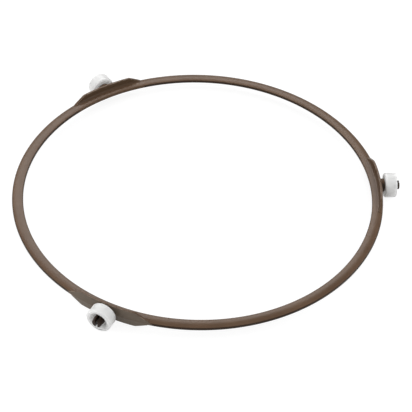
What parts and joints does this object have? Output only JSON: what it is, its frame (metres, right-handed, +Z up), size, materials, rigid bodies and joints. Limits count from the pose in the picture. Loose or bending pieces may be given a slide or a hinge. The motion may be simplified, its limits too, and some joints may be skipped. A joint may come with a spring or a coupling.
{
  "type": "microwave roller ring",
  "caption": "Thin brown plastic ring with upright brackets whose split snap pins carry free-turning white rollers, to bear a turning glass tray in a microwave oven.",
  "frame": {"origin": "on the ring's axis, at the level of the surface that the rollers stand on", "axes": "+Z up along the ring's axis, +X out along the first roller's pin"},
  "size_m": [0.2202, 0.21, 0.014],
  "materials": {
    "brown_moulding": "satin brown moulded plastic",
    "white_roller": "smooth white moulded plastic"
  },
  "bodies": {
    "ring_frame": {"ring_frame": "brown_moulding"},
    "roller_1": {"roller_1": "white_roller"},
    "roller_2": {"roller_2": "white_roller"},
    "roller_3": {"roller_3": "white_roller"}
  },
  "joints": [
    {"name": "roller_1_spin", "type": "hinge", "parent": "ring_frame", "child": "roller_1", "pos_m": [0.10995, 0, 0.007], "axis": [1, 0, 0], "continuous": true},
    {"name": "roller_2_spin", "type": "hinge", "parent": "ring_frame", "child": "roller_2", "pos_m": [-0.05498, 0.09522, 0.007], "axis": [-0.5, 0.866, 0], "continuous": true},
    {"name": "roller_3_spin", "type": "hinge", "parent": "ring_frame", "child": "roller_3", "pos_m": [-0.05498, -0.09522, 0.007], "axis": [-0.5, -0.866, 0], "continuous": true}
  ]
}
